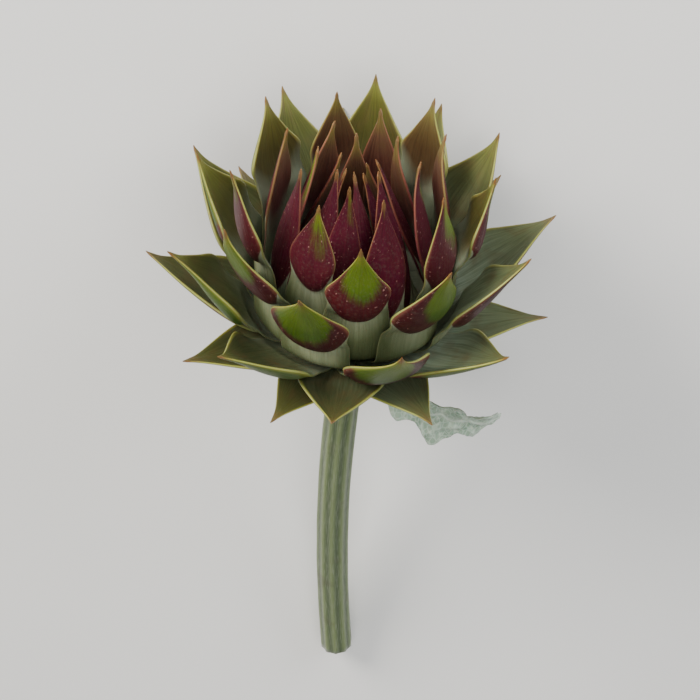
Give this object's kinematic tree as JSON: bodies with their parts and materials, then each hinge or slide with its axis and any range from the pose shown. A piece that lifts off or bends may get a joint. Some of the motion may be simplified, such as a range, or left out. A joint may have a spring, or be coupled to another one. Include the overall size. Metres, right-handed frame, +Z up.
{
  "type": "artichoke",
  "caption": "Cut artichoke lying on its side: an open head of pointed, cupped bracts around a wine red heart, on a ribbed stem with a small leaf.",
  "frame": {"origin": "centre of the bounding box's base, on the surface that the artichoke lies on", "axes": "+Z up; the head points to -Y and a little up, and the stem runs to its cut end at +Y"},
  "size_m": [0.1445, 0.2871, 0.138],
  "materials": {
    "inner_bract_wine": "waxy leathery plant flesh, deep wine red",
    "middle_bract_green": "waxy leathery plant flesh, yellow green with wine red at the base",
    "outer_bract_olive": "waxy leathery plant flesh, dull olive green",
    "stem_green": "ribbed green stem with fine grey wool",
    "leaf_grey_green": "dull crumpled grey green leaf"
  },
  "bodies": {
    "root": {"inner_bract_01": "inner_bract_wine", "inner_bract_02": "inner_bract_wine", "inner_bract_03": "inner_bract_wine", "inner_bract_04": "inner_bract_wine", "inner_bract_05": "inner_bract_wine", "inner_bract_06": "inner_bract_wine", "inner_bract_07": "inner_bract_wine", "inner_bract_08": "inner_bract_wine", "inner_bract_09": "inner_bract_wine", "inner_bract_10": "inner_bract_wine", "inner_bract_11": "inner_bract_wine", "inner_bract_12": "inner_bract_wine", "inner_bract_13": "inner_bract_wine", "inner_bract_14": "inner_bract_wine", "inner_bract_15": "inner_bract_wine", "inner_bract_16": "inner_bract_wine", "inner_bract_17": "inner_bract_wine", "inner_bract_18": "inner_bract_wine", "middle_bract_01": "middle_bract_green", "middle_bract_02": "middle_bract_green", "middle_bract_03": "middle_bract_green", "middle_bract_04": "middle_bract_green", "middle_bract_05": "middle_bract_green", "middle_bract_06": "middle_bract_green", "middle_bract_07": "middle_bract_green", "middle_bract_08": "middle_bract_green", "middle_bract_09": "middle_bract_green", "middle_bract_10": "middle_bract_green", "middle_bract_11": "middle_bract_green", "middle_bract_12": "middle_bract_green", "middle_bract_13": "middle_bract_green", "middle_bract_14": "middle_bract_green", "middle_bract_15": "middle_bract_green", "middle_bract_16": "middle_bract_green", "middle_bract_17": "middle_bract_green", "middle_bract_18": "middle_bract_green", "outer_bract_01": "outer_bract_olive", "outer_bract_02": "outer_bract_olive", "outer_bract_03": "outer_bract_olive", "outer_bract_04": "outer_bract_olive", "outer_bract_05": "outer_bract_olive", "outer_bract_06": "outer_bract_olive", "outer_bract_07": "outer_bract_olive", "outer_bract_08": "outer_bract_olive", "outer_bract_09": "outer_bract_olive", "outer_bract_10": "outer_bract_olive", "outer_bract_11": "outer_bract_olive", "outer_bract_12": "outer_bract_olive", "outer_bract_13": "outer_bract_olive", "outer_bract_14": "outer_bract_olive", "outer_bract_15": "outer_bract_olive", "outer_bract_16": "outer_bract_olive", "outer_bract_17": "outer_bract_olive", "outer_bract_18": "outer_bract_olive", "stem_and_heart": "stem_green", "stem_leaf": "leaf_grey_green"}
  },
  "joints": []
}
